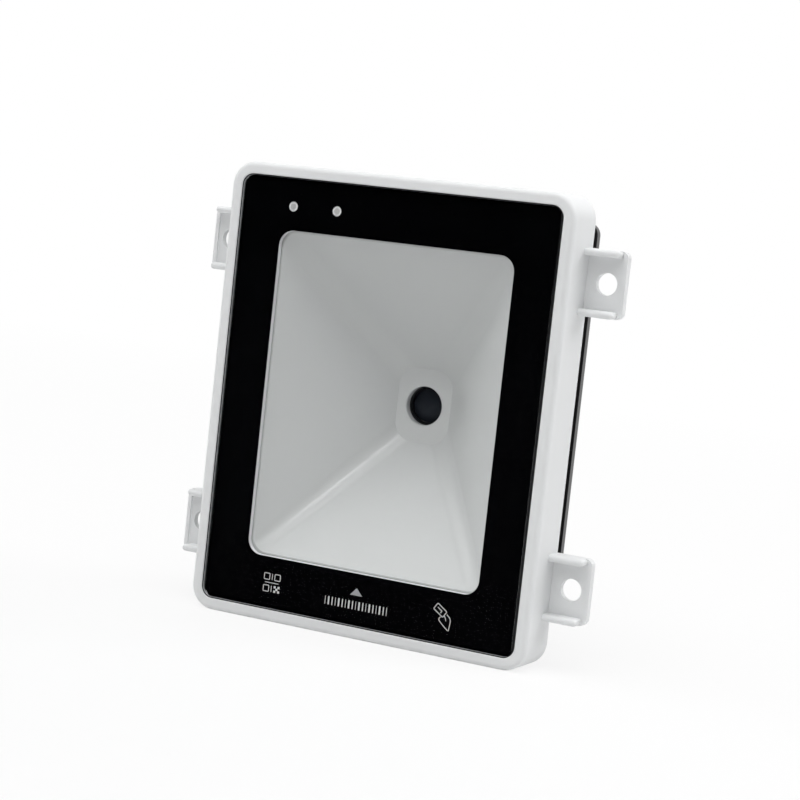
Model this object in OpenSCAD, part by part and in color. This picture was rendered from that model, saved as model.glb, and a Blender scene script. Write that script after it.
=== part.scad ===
// Fixed barcode and card reader for a panel: a white shell with four screw lugs holds a masked pane,
// a white light cone leads back to the lens, and a black rear housing carries the boards and a data socket.
// Every piece is drawn lying on its back, with x to the right, y up and z to the front, and z = 0 on the
// face that the lugs seat on. stand_up() turns it upright, so that the front faces -Y.

/* [Shell] */
// Width of the shell without its lugs
body_w = 86.4; // [78:0.2:96]
// Height of the shell
body_h = 105.4; // [95:0.2:116]
// Depth of the shell, from the seat of its lugs to the front of its rim
body_depth = 12; // [10.8:0.1:15]
// Corner radius of the shell
corner_r = 5.6; // [4.8:0.1:8]
// Width of the rim round the glass
rim_w = 2.8; // [2.2:0.1:3.6]
// Rounding of the rim's outer edge
rim_edge_r = 1.2; // [0.4:0.1:1.6]
// Rounding of the rim's inner edge
rim_lip_r = 0.35; // [0.1:0.05:0.6]
// Thickness of the side walls
wall_t = 3.4; // [3:0.1:4]
// Width of the step in the walls that takes the seal and the housing's flange
step_w = 1.5; // [1.2:0.1:1.8]
// Thickness of the ledge that carries the glass
ledge_t = 1.2; // [1:0.1:2]

/* [Lugs] */
// Distance of a screw hole's centre from the side wall
hole_out = 4.8; // [4:0.1:8]
// Distance of a screw hole's centre from the shell's upper or lower end
hole_from_end = 18.7; // [14:0.1:26]
// Diameter of the screw holes
hole_d = 5; // [4:0.1:5.6]
// Distance of a screw hole's centre from the lug's outer edge
lug_margin = 4.5; // [4:0.1:8]
// Height of a lug
lug_h = 15; // [12:0.2:17]
// Thickness of a lug's plate
lug_t = 1.6; // [1.2:0.1:3]
// Corner radius of a lug
lug_corner_r = 1.6; // [0.4:0.1:2.4]
// Thickness of the ribs along a lug's upper and lower edges
rib_t = 1.6; // [1.2:0.1:2.2]
// Height of the ribs above the seat
rib_h = 5; // [4:0.1:8]
// Gap between a rib's end and the lip at the lug's outer edge
rib_gap = 0.3; // [0.1:0.1:1]
// Width of the low lip along a lug's outer edge
lip_w = 0.9; // [0.6:0.1:1.6]
// Height of that lip above the plate
lip_rise = 0.4; // [0.2:0.1:1.2]

/* [Glass] */
// Thickness of the pane
glass_t = 1; // [0.7:0.1:1.5]
// Depth of the pane's face behind the rim's face
glass_sink = 0.2; // [0:0.05:0.5]
// Gap between the pane's edge and the rim
glass_gap = 0.3; // [0.1:0.05:0.5]
// Depth of the bevel along the front edge of the pane
glass_chamfer = 0.5; // [0.1:0.05:0.6]
// Width of that bevel
glass_bevel_w = 0.5; // [0.2:0.05:1]
// Thickness of the black mask with its adhesive
mask_t = 0.25; // [0.15:0.05:0.5]
// Thickness of the clear bond between the pane and the mask
bond_t = 0.05; // [0.02:0.01:0.1]
// Width of the black border at each side, from the rim to the clear window
side_border = 10.6; // [9.6:0.1:13]
// Width of the black border at each end
end_border = 12.1; // [11:0.1:15]
// Corner radius of the clear window
window_r = 3.6; // [2:0.1:6]
// Diameter of the two lamp windows
lamp_d = 2.4; // [1.6:0.1:2.6]
// Distance of the first lamp window from the left inner edge of the rim
lamp_side = 13.4; // [13:0.2:20]
// Distance between the two lamp windows
lamp_pitch = 11.4; // [8:0.2:16]
// Distance of the lamp windows from the upper inner edge of the rim
lamp_drop = 6.6; // [6:0.1:7]

/* [Light cone] */
// Depth of the camera and its board, from the cone's narrow end to the back
camera_room = 16.6; // [15.4:0.1:20]
// Width of the cone's narrow end
cone_end_w = 14; // [13:0.2:18]
// Height of the cone's narrow end
cone_end_h = 17.6; // [16:0.2:22]
// Rounding of the cone's four creases at the narrow end
cone_end_r = 4.6; // [2:0.1:6]
// Thickness of the cone's wall, measured along its axis
cone_wall = 1.8; // [1.4:0.1:2.2]
// Depth of the seam between the ledge and the cone's mouth
seam_t = 0.35; // [0.2:0.05:0.5]
// Width of that seam, from the window's edge outwards
seam_w = 1.2; // [0.8:0.1:2]
// Diameter of the lens hole
lens_hole_d = 9.2; // [9:0.1:11]
// Bevel of the lens hole's front edge
lens_hole_bevel = 0.2; // [0.1:0.1:0.6]
// Diameter of the pads that the antenna board presses on
cone_pad_d = 3; // [2:0.1:4]

/* [Camera] */
// Outer diameter of the lens barrel
barrel_d = 8.6; // [8.4:0.1:9.4]
// Diameter of the front lens
lens_d = 7.8; // [6:0.1:8]
// Rise of the front lens's dome
lens_rise = 0.7; // [0.4:0.1:1.1]
// Outer diameter of the lens holder's tube
holder_d = 11.6; // [11:0.1:13]
// Side of the lens holder's square base
holder_base = 15; // [14:0.2:17]
// Height of the lens holder's base
holder_base_h = 3; // [2.6:0.1:3.4]
// Side of the image sensor
sensor_w = 8; // [6:0.2:9]
// Thickness of the image sensor
sensor_t = 1; // [0.6:0.1:1.4]

/* [Rear housing] */
// Depth of the whole reader, from the rim's face to the back
total_depth = 42; // [37.8:0.2:50]
// Distance of the rear housing's side from the shell's side
back_side = 9.8; // [8:0.1:11]
// Distance of the rear housing's end from the shell's end
back_end = 5.7; // [4.8:0.1:6]
// Thickness of the rear housing's walls
back_wall = 2.2; // [1.8:0.1:2.6]
// Corner radius of the rear housing
back_corner_r = 3; // [2.6:0.1:5]
// Rounding of the rear housing's back edge
back_edge_r = 2; // [0.5:0.1:2.4]
// Distance from the back to the groove round the rear housing
groove_back = 3.4; // [2.8:0.1:5]
// Width of that groove
groove_w = 3.2; // [1:0.1:4]
// Depth of that groove
groove_t = 1; // [0.6:0.1:1.2]
// Thickness of the rear housing's flange
flange_t = 3; // [2.6:0.1:3.2]
// Depth of the flange's back inside the seat
flange_sink = 0.2; // [0:0.05:0.4]
// Thickness of the seal under the flange
gasket_t = 0.8; // [0.6:0.1:1]

/* [Boards] */
// Thickness of the circuit boards
board_t = 1.6; // [1:0.1:1.8]
// Height of the posts under the main board
post_h = 3.2; // [2.6:0.1:4]
// Gap between the main board and the housing's walls
board_gap = 1.2; // [0.4:0.1:2]
// Depth of the antenna board behind the glass ledge
antenna_drop = 2.6; // [2.4:0.1:2.9]
// Number of turns of the antenna coil
coil_turns = 3; // [2:1:3]
// Width of the antenna coil's wire
coil_wire = 0.5; // [0.3:0.05:0.6]
// Side of the processor
processor_w = 14; // [10:0.5:17]
// Diameter of the sounder
buzzer_d = 12; // [9:0.2:14]
// Height of the sounder
buzzer_h = 7; // [4:0.2:9]
// Diameter of the two capacitors
capacitor_d = 6.3; // [4:0.1:8]
// Height of the two capacitors
capacitor_h = 7.7; // [5:0.1:9]

/* [Data socket] */
// Width of the socket's body
jack_w = 13.6; // [13.2:0.1:16]
// Height of the socket's body above the main board
jack_h = 13; // [12.4:0.1:14]
// Length of the socket's body
jack_len = 15.5; // [14:0.1:18]
// Width of the plug's opening
plug_w = 11.8; // [11:0.1:12]
// Height of the plug's opening
plug_h = 6.8; // [6.4:0.1:7.4]
// Depth of the plug's opening
plug_len = 12; // [10:0.1:12.6]

/* [Hidden] */
$fn = 64;

// Clearances and small values that several pieces share
fit = 0.2;
small_gap = 0.3;
thread_gap = 0.1;
overlap = 0.5;
past = 1;
hull_fn = 64;
dome_fn = 256;
skin = 0.01;

// Screws: shank and head of the two sizes
big_screw_d = 2.5;
big_head_d = 4.6;
big_head_h = 1.3;
small_screw_d = 2;
small_head_d = 3.6;
small_head_h = 1;

// Heights of the front stack, from the glass back to the antenna board
glass_z = body_depth - glass_sink - glass_t;
mask_front_z = glass_z - bond_t;
ledge_z = mask_front_z - mask_t;
ledge_back_z = ledge_z - ledge_t;
cone_flange_z = ledge_back_z - cone_wall;
antenna_front_z = ledge_back_z - antenna_drop;
antenna_back_z = antenna_front_z - board_t;

// Flange, seal and step at the back of the shell
flange_front_z = flange_sink + flange_t;
step_z = flange_front_z + gasket_t;
step_inset = wall_t - step_w;

// Heights of the rear stack, from the cone's end to the back
back_z = body_depth - total_depth;
cone_end_z = back_z + camera_room;
lens_front_z = cone_end_z - cone_wall - small_gap;
floor_z = back_z + back_wall;
board_back_z = floor_z + post_h;
board_front_z = board_back_z + board_t;

// Opening of the rim, and the pane in it
opening_w = body_w - 2 * rim_w;
opening_h = body_h - 2 * rim_w;
opening_r = corner_r - rim_w;
glass_w = opening_w - 2 * glass_gap;
glass_h = opening_h - 2 * glass_gap;
glass_r = opening_r - glass_gap;
window_w = opening_w - 2 * side_border;
window_h = opening_h - 2 * end_border;

// Lugs
hole_x = body_w / 2 + hole_out;
hole_y = body_h / 2 - hole_from_end;
lug_x = hole_x + lug_margin;
lug_root_x = body_w / 2 - wall_t / 2;
rib_end_x = lug_x - lip_w - rib_gap - rib_t / 2;
rib_y = lug_h / 2 - rib_t / 2;

// Lamps and their light pipes
lamp_x = lamp_side - opening_w / 2;
lamp_y = opening_h / 2 - lamp_drop;
lamp_xs = [lamp_x, lamp_x + lamp_pitch];
pipe_d = lamp_d + 2 * fit;
pipe_collar_w = 0.5;
pipe_collar_t = 0.7;
pipe_collar_d = pipe_d + 2 * pipe_collar_w;
led_t = 0.8;
status_led = [3.2, 1.6, led_t];
lighting_led = [3.5, 2.8, led_t];

// Rear housing, its flange, and the screws that hold it in the shell's bosses
back_w = body_w - 2 * back_side;
back_h = body_h - 2 * back_end;
flange_w = body_w - 2 * step_inset - 2 * fit;
flange_h = body_h - 2 * step_inset - 2 * fit;
flange_r = corner_r - step_inset - fit;
cover_screw_inset = 4.5;
cover_screw_x = (flange_w + back_w) / 4;
cover_screw_y = back_h / 2 - cover_screw_inset;
cover_screw_ys = [-cover_screw_y, 0, cover_screw_y];
cover_head_sink = big_head_h + fit;
cover_pilot = ledge_back_z - flange_front_z - overlap;
boss_r = 2.5;

// Antenna board, between the bosses and round the cone
boss_clearance = 0.5;
lamp_margin = 3.2;
antenna_w = 2 * (cover_screw_x - boss_r - boss_clearance);
antenna_h = 2 * (lamp_y + lamp_margin);
antenna_r = 2;
antenna_boss_r = 2.1;
antenna_pilot = antenna_drop - overlap;
head_pocket_z = antenna_back_z - small_head_h - small_gap;
antenna_hole_inset = 2.4;
antenna_hole_x = antenna_w / 2 - antenna_hole_inset;
antenna_hole_y = antenna_h / 2 - antenna_hole_inset;
cone_clearance = 0.6;
antenna_open_w = cone_outer(window_w, cone_end_w, antenna_front_z) + 2 * cone_clearance;
antenna_open_h = cone_outer(window_h, cone_end_h, antenna_front_z) + 2 * cone_clearance;
antenna_open_r = window_r;
coil_gap = 0.35;
coil_pitch = coil_wire + coil_gap;
coil_t = 0.3;
coil_margin = 0.5;
coil_reach = coil_margin + coil_turns * coil_pitch - coil_gap;
cone_flange_h = 2 * (lamp_y - pipe_collar_d / 2 - small_gap);
pad_x = (antenna_open_w + antenna_w) / 4;
pad_y = window_h / 4;

// Camera
sensor_air = 1.2;
barrel_proud = 0.8;
lens_lap = 0.6;
lens_sink = 0.1;
lens_seat = 1.2;
barrel_back_z = board_front_z + sensor_t + sensor_air;
barrel_bore_d = lens_d - 2 * lens_lap;
holder_top_z = lens_front_z - barrel_proud;
holder_bore_d = barrel_d + 2 * thread_gap;
holder_room_h = sensor_t + sensor_air - small_gap;
holder_corner_r = 1;
ear_t = 2;
ear_r = 2.6;
ear_x = holder_base / 2 + ear_r;

// Main board, its posts and what stands on it
main_w = back_w - 2 * back_wall - 2 * board_gap;
main_h = back_h - 2 * back_wall - 2 * board_gap;
main_r = 2;
post_r = 3;
post_inset = 4;
post_x = main_w / 2 - post_inset;
post_y = main_h / 2 - post_inset;
main_screw_len = board_t + post_h - small_gap;
lighting_x = 14;
lighting_y = 15;
lighting_side_x = 18.5;
lighting_rows = [for (x = [-lighting_x, 0, lighting_x], y = [-lighting_y, lighting_y]) [x, y]];
lighting_spots = concat(lighting_rows, [[-lighting_side_x, 0], [lighting_side_x, 0]]);
processor_t = 1.4;
processor_y = 12;
memory = [8, 6, 1];
chip_gap = 2;
memory_y = processor_y - processor_w / 2 - chip_gap - memory[1] / 2;
buzzer_inset = 9;
buzzer_y = main_h / 2 - buzzer_inset - buzzer_d / 2;
capacitor_x = 20;
capacitor_inset = 15;
capacitor_y = capacitor_inset - main_h / 2;
capacitor_base = 1;

// Data socket in the housing's lower wall, its mouth flush with the wall
jack_y = -back_h / 2;
jack_mid_z = board_front_z + jack_h / 2;
plug_lift = 0.6;
plug_z = jack_mid_z - plug_h / 2 + plug_lift;
contact_count = 8;
contact_pitch = 1.2;
contact_t = 0.5;
contact_end_gap = 2;
contact_drop = 1.6;

// Flat cable between the two boards
connector_gap = 2.4;
connector_room = post_x - big_head_d / 2 - jack_w / 2;
connector = [connector_room - 2 * connector_gap, 3.4, 1.8];
cable_margin = 2;
cable_w = connector[0] - 2 * cable_margin;
cable_t = 0.4;
cable_x = jack_w / 2 + connector_room / 2;
cable_y = -antenna_open_h / 2 - coil_reach - small_gap - connector[1] / 2;

// Width of the cone's outside, at a height z, between a mouth and a narrow end of the given widths
function cone_outer(mouth, end, z) =
    mouth + (end - mouth) * (cone_flange_z - z) / (ledge_back_z - cone_end_z);

// Turns a piece that was drawn on its back upright
module stand_up() {
    rotate([90, 0, 0])
        children();
}

// Rectangle about the origin with rounded corners
module rounded(w, h, r) {
    square([w - 2 * r, h], center = true);
    square([w, h - 2 * r], center = true);
    for (x = [-1, 1], y = [-1, 1])
        translate([x * (w / 2 - r), y * (h / 2 - r)])
            circle(r);
}

// Flat plate with rounded corners between two heights
module plate(w, h, r, z0, z1) {
    translate([0, 0, z0])
        linear_extrude(z1 - z0)
            rounded(w, h, r);
}

// Carries a section round a rounded rectangle: x = r in the section is the outer face, and y is the height
module carry_round(w, h, r) {
    for (k = [0:3]) {
        run = k % 2 == 0 ? w : h;
        off = k % 2 == 0 ? h : w;
        rotate(90 * k)
            translate([run / 2 - r, r - off / 2, 0]) {
                rotate([90, 0, -90])
                    linear_extrude(run - 2 * r)
                        children();
                rotate(-90)
                    rotate_extrude(angle = 90)
                        children();
            }
    }
}

// Repeats a piece at the four corners of a rectangle
module at_corners(x, y) {
    for (sx = [-1, 1], sy = [-1, 1])
        translate([sx * x, sy * y, 0])
            children();
}

// Block on the board's face, centred in x and y
module chip(size) {
    translate([-size[0] / 2, -size[1] / 2, 0])
        cube(size);
}

// Pan-head screw with a cross recess: the head's seat is at z = 0 and the shank runs up
module screw(d, length, head_d, head_h) {
    recess_t = d / 4;
    recess_w = head_d * 0.55;
    difference() {
        union() {
            translate([0, 0, -head_h])
                cylinder(d1 = head_d - head_h, d2 = head_d, h = head_h / 2);
            translate([0, 0, -head_h / 2])
                cylinder(d = head_d, h = head_h / 2);
            cylinder(d = d, h = length);
        }
        for (turn = [0, 90])
            rotate(turn)
                translate([-recess_w / 2, -recess_t / 2, -head_h - past])
                    cube([recess_w, recess_t, past + head_h / 2]);
    }
}

// Section of the shell's wall: the rim in front, the step for the seal and the flange at the back
module wall_section() {
    translate([corner_r - wall_t, step_z])
        square([wall_t, ledge_z - step_z]);
    translate([corner_r - step_inset, 0])
        square([step_inset, step_z + overlap]);
    translate([corner_r - rim_w, ledge_z - overlap])
        square([rim_w, body_depth - rim_edge_r - ledge_z + overlap]);
    translate([corner_r - rim_w + rim_lip_r, body_depth - rim_edge_r - overlap])
        square([rim_w - rim_lip_r - rim_edge_r, rim_edge_r + overlap]);
    translate([corner_r - rim_w, body_depth - rim_edge_r - overlap])
        square([rim_w / 2, rim_edge_r + overlap - rim_lip_r]);
    translate([corner_r - rim_edge_r, body_depth - rim_edge_r])
        circle(rim_edge_r);
    translate([corner_r - rim_w + rim_lip_r, body_depth - rim_lip_r])
        circle(rim_lip_r);
}

// Outline of a lug's plate, with its two outer corners rounded
module lug_outline() {
    translate([lug_root_x, -lug_h / 2])
        square([lug_x - lug_corner_r - lug_root_x, lug_h]);
    translate([lug_root_x, lug_corner_r - lug_h / 2])
        square([lug_x - lug_root_x, lug_h - 2 * lug_corner_r]);
    for (side = [-1, 1])
        translate([lug_x - lug_corner_r, side * (lug_h / 2 - lug_corner_r)])
            circle(lug_corner_r);
}

// Section of a lug's rib, with a round front edge
module rib_section() {
    translate([-rib_t / 2, 0])
        square([rib_t, rib_h - rib_t / 2]);
    translate([0, rib_h - rib_t / 2])
        circle(rib_t / 2);
}

// Rib along a lug's edge, with a round end
module rib() {
    translate([lug_root_x, 0, 0])
        rotate([90, 0, 90])
            linear_extrude(rib_end_x - lug_root_x)
                rib_section();
    translate([rib_end_x, 0, 0])
        rotate(-90)
            rotate_extrude(angle = 180)
                intersection() {
                    rib_section();
                    square([rib_t, rib_h]);
                }
}

// Lug of the right-hand side, level with the origin
module lug() {
    linear_extrude(lug_t)
        lug_outline();
    linear_extrude(lug_t + lip_rise)
        difference() {
            lug_outline();
            translate([-lip_w, 0])
                lug_outline();
        }
    for (side = [-1, 1])
        translate([0, side * rib_y, 0])
            rib();
}

module body_shell() color("whitesmoke") stand_up() {
    difference() {
        union() {
            carry_round(body_w, body_h, corner_r)
                wall_section();
            plate(body_w - 2 * wall_t + 2 * overlap, body_h - 2 * wall_t + 2 * overlap,
                corner_r - wall_t + overlap, ledge_back_z, ledge_z);
            for (side = [0, 1], y = [-hole_y, hole_y])
                mirror([side, 0, 0])
                    translate([0, y, 0])
                        lug();
            for (x = [-cover_screw_x, cover_screw_x], y = cover_screw_ys)
                translate([x, y, flange_front_z])
                    cylinder(r = boss_r, h = ledge_back_z + overlap - flange_front_z);
            at_corners(antenna_hole_x, antenna_hole_y)
                translate([0, 0, antenna_front_z])
                    cylinder(r = antenna_boss_r, h = ledge_back_z + overlap - antenna_front_z);
        }
        plate(window_w, window_h, window_r, ledge_back_z - past, ledge_z + past);
        for (x = lamp_xs)
            translate([x, lamp_y, ledge_back_z - past])
                cylinder(d = pipe_d + fit, h = ledge_t + 2 * past);
        at_corners(hole_x, hole_y)
            translate([0, 0, -past])
                cylinder(d = hole_d, h = lug_t + 2 * past);
        for (x = [-cover_screw_x, cover_screw_x], y = cover_screw_ys)
            translate([x, y, flange_front_z - past])
                cylinder(d = big_screw_d + 2 * thread_gap, h = past + cover_pilot);
        at_corners(antenna_hole_x, antenna_hole_y)
            translate([0, 0, antenna_front_z - past])
                cylinder(d = small_screw_d + 2 * thread_gap, h = past + antenna_pilot);
    }
}

module front_glass() color([0.75, 0.8, 0.82, 0.35]) stand_up() {
    translate([0, 0, glass_z]) {
        carry_round(glass_w, glass_h, glass_r)
            polygon([[0, 0], [glass_r, 0], [glass_r, glass_t - glass_chamfer],
                [glass_r - glass_bevel_w, glass_t], [0, glass_t]]);
        linear_extrude(glass_t)
            square([glass_w - 2 * glass_r, glass_h - 2 * glass_r], center = true);
    }
}

module glass_mask() color([0.03, 0.03, 0.04]) stand_up() {
    difference() {
        plate(glass_w, glass_h, glass_r, ledge_z, mask_front_z);
        plate(window_w, window_h, window_r, ledge_z - past, mask_front_z + past);
        for (x = lamp_xs)
            translate([x, lamp_y, ledge_z - past])
                cylinder(d = lamp_d, h = mask_t + 2 * past);
    }
}

// Four-sided funnel from the window's outline to the cone's narrow end, moved back by a distance
module funnel(back) {
    hull() {
        translate([0, 0, ledge_back_z - back])
            plate(window_w, window_h, window_r, 0, skin, $fn = hull_fn);
        translate([0, 0, cone_end_z - back])
            plate(cone_end_w, cone_end_h, cone_end_r, 0, skin, $fn = hull_fn);
    }
}

module light_cone() color("gainsboro") stand_up() {
    difference() {
        union() {
            funnel(cone_wall);
            plate(antenna_w, cone_flange_h, antenna_r, cone_flange_z, ledge_back_z);
            for (x = [-pad_x, pad_x], y = [-pad_y, 0, pad_y])
                translate([x, y, antenna_front_z])
                    cylinder(d = cone_pad_d, h = cone_flange_z + overlap - antenna_front_z);
        }
        funnel(0);
        plate(window_w + 2 * seam_w, window_h + 2 * seam_w, window_r + seam_w,
            ledge_back_z - seam_t, ledge_z);
        translate([0, 0, cone_end_z - cone_wall - past])
            cylinder(d = lens_hole_d, h = cone_wall + 2 * past);
        translate([0, 0, cone_end_z - lens_hole_bevel])
            cylinder(d1 = lens_hole_d, d2 = lens_hole_d + 4 * lens_hole_bevel, h = 2 * lens_hole_bevel);
    }
}

module light_pipes() color([0.85, 0.88, 0.88, 0.6]) stand_up() {
    for (x = lamp_xs)
        translate([x, lamp_y, antenna_front_z + led_t + small_gap]) {
            cylinder(d = pipe_d, h = ledge_z - antenna_front_z - led_t - small_gap);
            translate([0, 0, antenna_drop - led_t - small_gap - pipe_collar_t])
                cylinder(d = pipe_collar_d, h = pipe_collar_t);
        }
}

module antenna_board() color("darkgreen") stand_up() {
    difference() {
        plate(antenna_w, antenna_h, antenna_r, antenna_back_z, antenna_front_z);
        plate(antenna_open_w, antenna_open_h, antenna_open_r, antenna_back_z - past, antenna_front_z + past);
        at_corners(antenna_hole_x, antenna_hole_y)
            translate([0, 0, antenna_back_z - past])
                cylinder(d = small_screw_d + fit, h = board_t + 2 * past);
    }
}

module antenna_coil() color("peru") stand_up() {
    for (turn = [0:coil_turns - 1]) {
        inset = coil_margin + turn * coil_pitch;
        difference() {
            plate(antenna_open_w + 2 * (inset + coil_wire), antenna_open_h + 2 * (inset + coil_wire),
                antenna_open_r + inset + coil_wire, antenna_back_z - coil_t, antenna_back_z);
            plate(antenna_open_w + 2 * inset, antenna_open_h + 2 * inset, antenna_open_r + inset,
                antenna_back_z - coil_t - past, antenna_back_z + past);
        }
    }
}

module status_leds() color("ivory") stand_up() {
    for (x = lamp_xs)
        translate([x, lamp_y, antenna_front_z])
            chip(status_led);
}

module antenna_screws() color("silver") stand_up() {
    at_corners(antenna_hole_x, antenna_hole_y)
        translate([0, 0, antenna_back_z])
            screw(small_screw_d, board_t + antenna_pilot - overlap, small_head_d, small_head_h);
}

module lens_barrel() color([0.05, 0.05, 0.06]) stand_up() {
    difference() {
        translate([0, 0, barrel_back_z])
            cylinder(d = barrel_d, h = lens_front_z - barrel_back_z);
        translate([0, 0, barrel_back_z - past])
            cylinder(d = barrel_bore_d, h = lens_front_z - barrel_back_z + 2 * past);
        translate([0, 0, lens_front_z - lens_sink - lens_seat])
            cylinder(d = lens_d + thread_gap, h = lens_sink + lens_seat + past);
    }
}

// Plano-convex lens, its dome to the front
module lens_element() color([0.1, 0.11, 0.16, 0.8]) stand_up() {
    dome_r = (lens_d * lens_d / 4 + lens_rise * lens_rise) / (2 * lens_rise);
    seat_z = lens_front_z - lens_sink - lens_seat;
    intersection() {
        translate([0, 0, seat_z])
            cylinder(d = lens_d, h = lens_seat);
        translate([0, 0, seat_z + lens_seat - dome_r])
            sphere(dome_r, $fn = dome_fn);
    }
}

module lens_holder() color([0.08, 0.08, 0.08]) stand_up() {
    room = sensor_w + 2 * small_gap;
    difference() {
        translate([0, 0, board_front_z]) {
            linear_extrude(holder_base_h)
                rounded(holder_base, holder_base, holder_corner_r);
            cylinder(d = holder_d, h = holder_top_z - board_front_z);
            for (side = [-1, 1])
                translate([side * ear_x, 0, 0])
                    cylinder(r = ear_r, h = ear_t);
            linear_extrude(ear_t)
                square([2 * ear_x, 2 * ear_r], center = true);
        }
        translate([0, 0, barrel_back_z - small_gap])
            cylinder(d = holder_bore_d, h = holder_top_z - barrel_back_z + past);
        translate([0, 0, board_front_z])
            cylinder(d = barrel_bore_d, h = holder_base_h + past);
        translate([0, 0, board_front_z - past])
            chip([room, room, holder_room_h + past]);
        for (side = [-1, 1])
            translate([side * ear_x, 0, board_front_z - past])
                cylinder(d = small_screw_d + fit, h = ear_t + 2 * past);
    }
}

module holder_screws() color("silver") stand_up() {
    for (side = [-1, 1])
        translate([side * ear_x, 0, board_front_z + ear_t])
            rotate([180, 0, 0])
                screw(small_screw_d, ear_t + board_t, small_head_d, small_head_h);
}

module image_sensor() color("dimgray") stand_up() {
    translate([0, 0, board_front_z])
        chip([sensor_w, sensor_w, sensor_t]);
}

module main_board() color("darkgreen") stand_up() {
    difference() {
        plate(main_w, main_h, main_r, board_back_z, board_front_z);
        at_corners(post_x, post_y)
            translate([0, 0, board_back_z - past])
                cylinder(d = big_screw_d + fit, h = board_t + 2 * past);
        for (side = [-1, 1])
            translate([side * ear_x, 0, board_back_z - past])
                cylinder(d = small_screw_d + 2 * thread_gap, h = board_t + 2 * past);
    }
}

module main_board_screws() color("silver") stand_up() {
    at_corners(post_x, post_y)
        translate([0, 0, board_front_z])
            rotate([180, 0, 0])
                screw(big_screw_d, main_screw_len, big_head_d, big_head_h);
}

module lighting_leds() color("lightyellow") stand_up() {
    for (spot = lighting_spots)
        translate([spot[0], spot[1], board_front_z])
            chip(lighting_led);
}

module processor() color([0.12, 0.12, 0.13]) stand_up() {
    translate([0, processor_y, board_back_z - processor_t])
        chip([processor_w, processor_w, processor_t]);
}

module memory_chip() color([0.12, 0.12, 0.13]) stand_up() {
    translate([0, memory_y, board_back_z - memory[2]])
        chip(memory);
}

module buzzer() color([0.1, 0.1, 0.1]) stand_up() {
    sound_hole_d = buzzer_d / 6;
    translate([0, buzzer_y, board_front_z])
        difference() {
            cylinder(d = buzzer_d, h = buzzer_h);
            translate([0, 0, buzzer_h / 2])
                cylinder(d = sound_hole_d, h = buzzer_h);
        }
}

module capacitors() color("silver") stand_up() {
    for (x = [-capacitor_x, capacitor_x])
        translate([x, capacitor_y, board_front_z]) {
            chip([capacitor_d + small_gap, capacitor_d + small_gap, capacitor_base]);
            cylinder(d = capacitor_d, h = capacitor_h);
        }
}

// Socket with the plug's opening in its lower end, and a stepped notch for the plug's latch
module data_jack() color([0.15, 0.15, 0.16]) stand_up() {
    latch_w = plug_w / 2;
    latch_h = 1.6;
    catch_w = plug_w / 4;
    catch_h = 1.2;
    difference() {
        translate([-jack_w / 2, jack_y, board_front_z])
            cube([jack_w, jack_len, jack_h]);
        translate([-plug_w / 2, jack_y - past, plug_z])
            cube([plug_w, plug_len + past, plug_h]);
        translate([-latch_w / 2, jack_y - past, plug_z - latch_h])
            cube([latch_w, plug_len + past, latch_h + overlap]);
        translate([-catch_w / 2, jack_y - past, plug_z - latch_h - catch_h])
            cube([catch_w, plug_len / 2 + past, catch_h + overlap]);
    }
}

// Sprung wires that slant down into the plug's opening from its front wall
module jack_contacts() color("gold") stand_up() {
    root = plug_z + plug_h;
    reach = plug_len - contact_end_gap;
    for (k = [0:contact_count - 1])
        translate([(k - (contact_count - 1) / 2) * contact_pitch + contact_t / 2, jack_y + past, root])
            rotate([90, 0, -90])
                linear_extrude(contact_t)
                    polygon([[0, 0], [-past, 0], [-reach, -contact_drop],
                        [-reach, -contact_drop - contact_t],
                        [-reach + contact_t, -contact_drop - contact_t], [-contact_t, -contact_t]]);
}

// Two flat-cable sockets that face each other, each with a slot for the cable's end
module cable_connectors() color("beige") stand_up() {
    slot = [cable_w + fit, cable_t + fit, connector[2]];
    for (level = [board_front_z, antenna_back_z - connector[2]]) {
        slot_z = level == board_front_z ? level + connector[2] / 2 : level - connector[2] / 2;
        translate([cable_x, cable_y, 0])
            difference() {
                translate([0, 0, level])
                    chip(connector);
                translate([0, 0, slot_z])
                    chip(slot);
            }
    }
}

module antenna_cable() color("white") stand_up() {
    low_z = board_front_z + connector[2] / 2;
    high_z = antenna_back_z - connector[2] / 2;
    translate([cable_x, cable_y, low_z])
        chip([cable_w, cable_t, high_z - low_z]);
}

module back_gasket() color([0.15, 0.15, 0.15]) stand_up() {
    seal_w = step_w - fit;
    difference() {
        plate(flange_w, flange_h, flange_r, flange_front_z, step_z);
        plate(flange_w - 2 * seal_w + 2 * fit, flange_h - 2 * seal_w + 2 * fit, flange_r - seal_w + fit,
            flange_front_z - past, step_z + past);
    }
}

// Section of the rear housing's wall and its floor's edge, with a rounded back edge and a groove outside
module housing_section() {
    difference() {
        intersection() {
            union() {
                translate([0, back_z + back_edge_r])
                    square([back_corner_r, flange_front_z - back_z - back_edge_r]);
                translate([0, back_z])
                    square([back_corner_r - back_edge_r, 2 * back_edge_r]);
                translate([back_corner_r - back_edge_r, back_z + back_edge_r])
                    circle(back_edge_r);
            }
            translate([0, back_z])
                square([back_corner_r, flange_front_z - back_z]);
        }
        translate([-past, floor_z])
            square([back_corner_r - back_wall + past, flange_front_z - floor_z + past]);
        translate([back_corner_r - groove_t, back_z + groove_back])
            square([groove_t + past, groove_w]);
    }
}

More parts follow.
